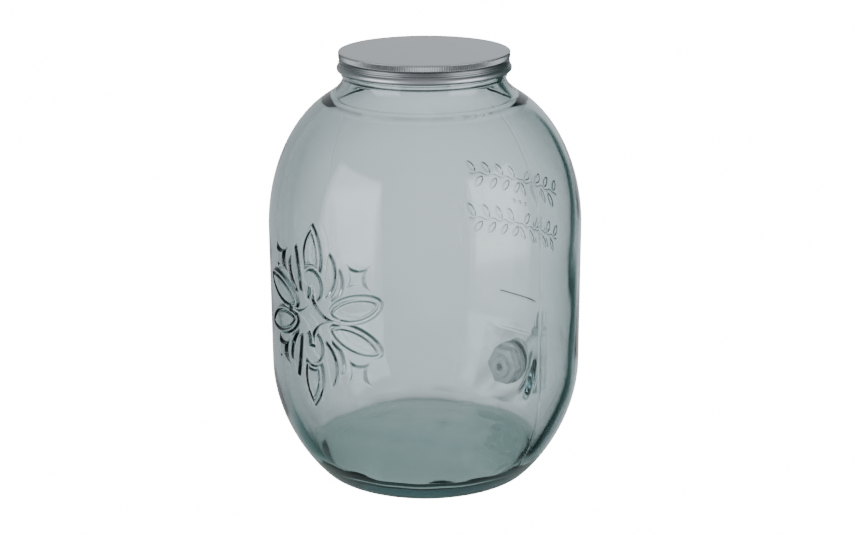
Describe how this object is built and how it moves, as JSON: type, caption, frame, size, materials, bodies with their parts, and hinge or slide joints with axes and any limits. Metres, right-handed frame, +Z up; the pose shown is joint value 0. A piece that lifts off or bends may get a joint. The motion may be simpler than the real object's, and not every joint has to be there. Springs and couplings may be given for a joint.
{
  "type": "glass drinks jar with tap",
  "caption": "Large round-shouldered recycled glass jar with a flower in relief, a metal screw lid and a small turn-key tap low on its front.",
  "frame": {"origin": "middle of the object's box at its base, on the surface that the jar stands on", "axes": "+Z up; -Y towards the tap, which is the front; +X to the right of someone who faces the tap"},
  "size_m": [0.22, 0.2658, 0.3029],
  "materials": {
    "recycled_glass": "clear, faintly grey-green",
    "lid_metal": "brushed, rolled edge",
    "washer_rubber": "soft translucent grey",
    "tap_plastic": "silver-grey, satin"
  },
  "bodies": {
    "jar": {"glass_jar": "recycled_glass", "glass_shoulder": "recycled_glass", "lid": "lid_metal", "tap_washer_outer": "washer_rubber", "tap_washer_inner": "washer_rubber", "tap_nut": "tap_plastic", "tap_body": "tap_plastic"},
    "key": {"tap_key": "tap_plastic"}
  },
  "joints": [
    {"name": "tap_key_turn", "type": "hinge", "parent": "jar", "child": "key", "pos_m": [0, -0.1254, 0.0572], "axis": [0, 0, 1], "range_deg": [0, 90]}
  ]
}
